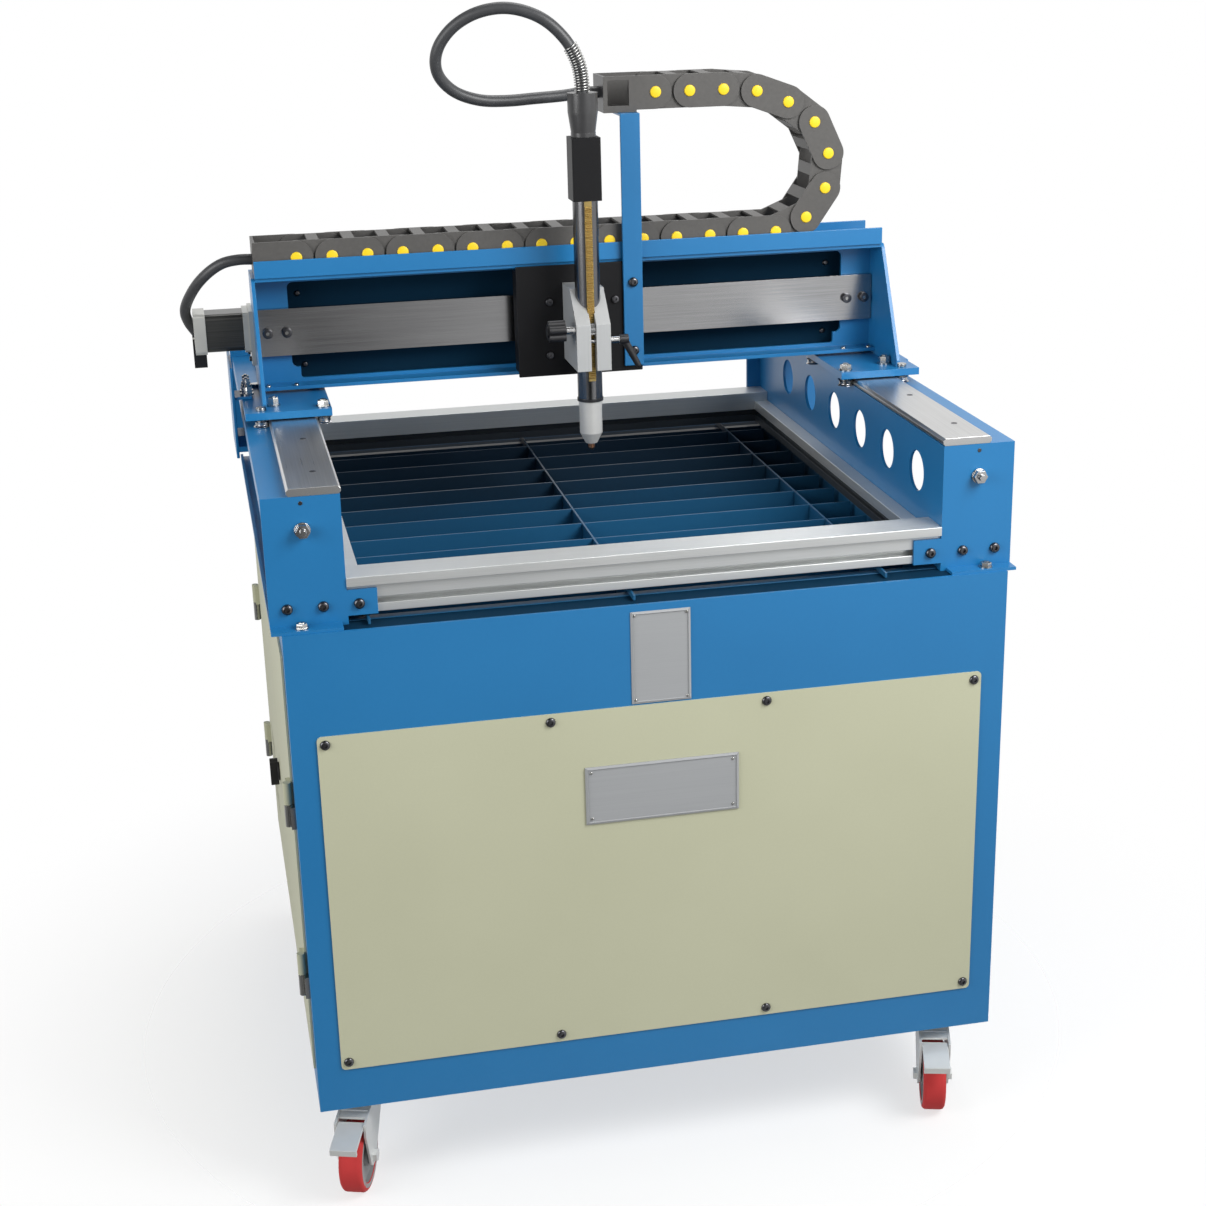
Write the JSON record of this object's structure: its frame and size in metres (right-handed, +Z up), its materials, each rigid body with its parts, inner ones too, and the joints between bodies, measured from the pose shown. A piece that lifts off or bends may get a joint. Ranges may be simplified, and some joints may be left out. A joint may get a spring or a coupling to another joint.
{
  "type": "cnc plasma cutting table",
  "caption": "Free-standing plasma cutting table: sheet-metal cabinet on casters, slatted bed, side beams and a travelling gantry with torch carriage and drag chain.",
  "frame": {"origin": "on the floor under the middle of the cabinet", "axes": "+X to the right seen from the front, +Y to the back, +Z up"},
  "size_m": [1.0481, 1.0137, 1.5149],
  "materials": {
    "blue_paint": "gloss enamel",
    "cream_paint": "satin enamel",
    "bar_steel": "ground steel",
    "zinc": "zinc plate",
    "aluminium": "extruded and milled",
    "torch_silver": "polished tube",
    "black_paint": "black paint",
    "black_plastic": "moulded",
    "chain_grey": "moulded nylon",
    "box_grey": "powder coat",
    "brass": "milled",
    "copper": "turned copper",
    "red_tread": "polyurethane",
    "black_rubber": "hose rubber"
  },
  "bodies": {
    "table": {"cabinet_shell": "blue_paint", "front_panel": "cream_paint", "table_screws": "zinc", "slag_tray": "blue_paint", "slat_grid": "blue_paint", "bed_rails": "aluminium", "left_beam": "blue_paint", "right_beam": "blue_paint", "guide_bars": "bar_steel", "y_motors": "black_paint", "caster_plates": "zinc", "control_box": "box_grey"},
    "front_door": {"front_door": "cream_paint"},
    "rear_door": {"rear_door": "cream_paint"},
    "latch": {"door_latch": "black_paint"},
    "gantry": {"gantry_beam": "blue_paint", "gantry_end_plates": "blue_paint", "gantry_feet": "blue_paint", "drive_brackets": "blue_paint", "chain_tray": "blue_paint", "x_guide_bar": "bar_steel", "x_motor": "black_paint", "gantry_bolts": "zinc", "chain_lower_run": "chain_grey", "motor_cable": "black_rubber"},
    "x_screw": {"x_screw": "bar_steel"},
    "left_y_screw": {"left_y_screw": "bar_steel"},
    "right_y_screw": {"right_y_screw": "bar_steel"},
    "carriage": {"carriage_plate": "black_paint", "carriage_saddle": "aluminium", "chain_bracket": "blue_paint", "chain_upper_run": "chain_grey", "torch_holder": "aluminium", "torch_hose": "black_rubber"},
    "lever": {"clamp_lever": "black_plastic"},
    "knob": {"height_knob": "black_plastic"},
    "torch": {"torch_barrel": "torch_silver", "torch_rack": "brass", "torch_cap": "black_plastic", "shield_cup": "zinc", "nozzle": "copper", "strain_spring": "zinc"},
    "roller_lfi": {"roller_lfi": "bar_steel"},
    "roller_lfo": {"roller_lfo": "bar_steel"},
    "roller_lri": {"roller_lri": "bar_steel"},
    "roller_lro": {"roller_lro": "bar_steel"},
    "roller_rfi": {"roller_rfi": "bar_steel"},
    "roller_rfo": {"roller_rfo": "bar_steel"},
    "roller_rri": {"roller_rri": "bar_steel"},
    "roller_rro": {"roller_rro": "bar_steel"},
    "fork_fl": {"fork_fl": "zinc"},
    "wheel_fl": {"wheel_fl": "red_tread"},
    "pedal_fl": {"pedal_fl": "zinc"},
    "fork_fr": {"fork_fr": "zinc"},
    "wheel_fr": {"wheel_fr": "red_tread"},
    "pedal_fr": {"pedal_fr": "zinc"},
    "fork_rl": {"fork_rl": "zinc"},
    "wheel_rl": {"wheel_rl": "red_tread"},
    "fork_rr": {"fork_rr": "zinc"},
    "wheel_rr": {"wheel_rr": "red_tread"}
  },
  "joints": [
    {"name": "gantry_travel", "type": "slide", "parent": "table", "child": "gantry", "axis": [0, 1, 0], "range_m": [-0.305, 0.305]},
    {"name": "carriage_travel", "type": "slide", "parent": "gantry", "child": "carriage", "axis": [1, 0, 0], "range_m": [-0.305, 0.305], "deforming": ["chain_lower_run", "chain_upper_run"]},
    {"name": "torch_height", "type": "slide", "parent": "carriage", "child": "torch", "axis": [0, 0, 1], "range_m": [-0.085, 0.04], "deforming": ["torch_hose"]},
    {"name": "height_knob", "type": "hinge", "parent": "carriage", "child": "knob", "pos_m": [-0.05, -0.0701, 1.081], "axis": [1, 0, 0], "range_deg": [-700, 332]},
    {"name": "clamp_lever", "type": "hinge", "parent": "carriage", "child": "lever", "pos_m": [0.044, -0.0701, 1.0645], "axis": [1, 0, 0], "range_deg": [-100, 80]},
    {"name": "front_door", "type": "hinge", "parent": "table", "child": "front_door", "pos_m": [-0.476, -0.412, 0.6], "axis": [0, 0, 1], "range_deg": [0, 110]},
    {"name": "rear_door", "type": "hinge", "parent": "table", "child": "rear_door", "pos_m": [-0.476, 0.412, 0.6], "axis": [0, 0, -1], "range_deg": [0, 110]},
    {"name": "door_latch", "type": "hinge", "parent": "rear_door", "child": "latch", "pos_m": [-0.471, 0.045, 0.423], "axis": [1, 0, 0], "range_deg": [0, 90]},
    {"name": "roller_lfi", "type": "hinge", "parent": "gantry", "child": "roller_lfi", "pos_m": [-0.3737, -0.049, 0.977], "axis": [0, 0, 1], "continuous": true},
    {"name": "roller_lfo", "type": "hinge", "parent": "gantry", "child": "roller_lfo", "pos_m": [-0.4583, -0.049, 0.977], "axis": [0, 0, 1], "continuous": true},
    {"name": "roller_lri", "type": "hinge", "parent": "gantry", "child": "roller_lri", "pos_m": [-0.3737, 0.105, 0.977], "axis": [0, 0, 1], "continuous": true},
    {"name": "roller_lro", "type": "hinge", "parent": "gantry", "child": "roller_lro", "pos_m": [-0.4583, 0.105, 0.977], "axis": [0, 0, 1], "continuous": true},
    {"name": "roller_rfi", "type": "hinge", "parent": "gantry", "child": "roller_rfi", "pos_m": [0.3737, -0.049, 0.977], "axis": [0, 0, 1], "continuous": true},
    {"name": "roller_rfo", "type": "hinge", "parent": "gantry", "child": "roller_rfo", "pos_m": [0.4583, -0.049, 0.977], "axis": [0, 0, 1], "continuous": true},
    {"name": "roller_rri", "type": "hinge", "parent": "gantry", "child": "roller_rri", "pos_m": [0.3737, 0.105, 0.977], "axis": [0, 0, 1], "continuous": true},
    {"name": "roller_rro", "type": "hinge", "parent": "gantry", "child": "roller_rro", "pos_m": [0.4583, 0.105, 0.977], "axis": [0, 0, 1], "continuous": true},
    {"name": "x_screw", "type": "hinge", "parent": "gantry", "child": "x_screw", "pos_m": [0, 0.092, 1.08], "axis": [1, 0, 0], "continuous": true},
    {"name": "left_y_screw", "type": "hinge", "parent": "table", "child": "left_y_screw", "pos_m": [-0.4325, 0, 0.93], "axis": [0, 1, 0], "continuous": true},
    {"name": "right_y_screw", "type": "hinge", "parent": "table", "child": "right_y_screw", "pos_m": [0.4325, 0, 0.93], "axis": [0, 1, 0], "continuous": true},
    {"name": "swivel_fl", "type": "hinge", "parent": "table", "child": "fork_fl", "pos_m": [-0.408, -0.381, 0.125], "axis": [0, 0, 1], "continuous": true},
    {"name": "roll_fl", "type": "hinge", "parent": "fork_fl", "child": "wheel_fl", "pos_m": [-0.42135, -0.41977, 0.05], "axis": [0.9455, -0.3256, 0], "continuous": true},
    {"name": "brake_fl", "type": "hinge", "parent": "fork_fl", "child": "pedal_fl", "pos_m": [-0.42916, -0.44246, 0.108], "axis": [0.9455, -0.3256, 0], "range_deg": [0, 14]},
    {"name": "swivel_fr", "type": "hinge", "parent": "table", "child": "fork_fr", "pos_m": [0.408, -0.381, 0.125], "axis": [0, 0, 1], "continuous": true},
    {"name": "roll_fr", "type": "hinge", "parent": "fork_fr", "child": "wheel_fr", "pos_m": [0.3967, -0.42041, 0.05], "axis": [0.9613, -0.2756, 0], "continuous": true},
    {"name": "brake_fr", "type": "hinge", "parent": "fork_fr", "child": "pedal_fr", "pos_m": [0.39008, -0.44348, 0.108], "axis": [0.9613, -0.2756, 0], "range_deg": [0, 14]},
    {"name": "swivel_rl", "type": "hinge", "parent": "table", "child": "fork_rl", "pos_m": [-0.408, 0.381, 0.125], "axis": [0, 0, 1], "continuous": true},
    {"name": "roll_rl", "type": "hinge", "parent": "fork_rl", "child": "wheel_rl", "pos_m": [-0.39398, 0.41953, 0.05], "axis": [-0.9397, 0.342, 0], "continuous": true},
    {"name": "swivel_rr", "type": "hinge", "parent": "table", "child": "fork_rr", "pos_m": [0.408, 0.381, 0.125], "axis": [0, 0, 1], "continuous": true},
    {"name": "roll_rr", "type": "hinge", "parent": "fork_rr", "child": "wheel_rr", "pos_m": [0.39739, 0.4206, 0.05], "axis": [-0.9659, -0.2588, 0], "continuous": true}
  ],
  "couplings": [
    {"joint": "height_knob", "follows": "torch_height", "rad_per_m": 142.86},
    {"joint": "roller_lfi", "follows": "gantry_travel", "rad_per_m": 107.53},
    {"joint": "roller_lfo", "follows": "gantry_travel", "rad_per_m": -107.53},
    {"joint": "roller_lri", "follows": "gantry_travel", "rad_per_m": 107.53},
    {"joint": "roller_lro", "follows": "gantry_travel", "rad_per_m": -107.53},
    {"joint": "roller_rfi", "follows": "gantry_travel", "rad_per_m": -107.53},
    {"joint": "roller_rfo", "follows": "gantry_travel", "rad_per_m": 107.53},
    {"joint": "roller_rri", "follows": "gantry_travel", "rad_per_m": -107.53},
    {"joint": "roller_rro", "follows": "gantry_travel", "rad_per_m": 107.53},
    {"joint": "x_screw", "follows": "carriage_travel", "rad_per_m": 251.33},
    {"joint": "left_y_screw", "follows": "gantry_travel", "rad_per_m": 251.33},
    {"joint": "right_y_screw", "follows": "gantry_travel", "rad_per_m": 251.33}
  ]
}
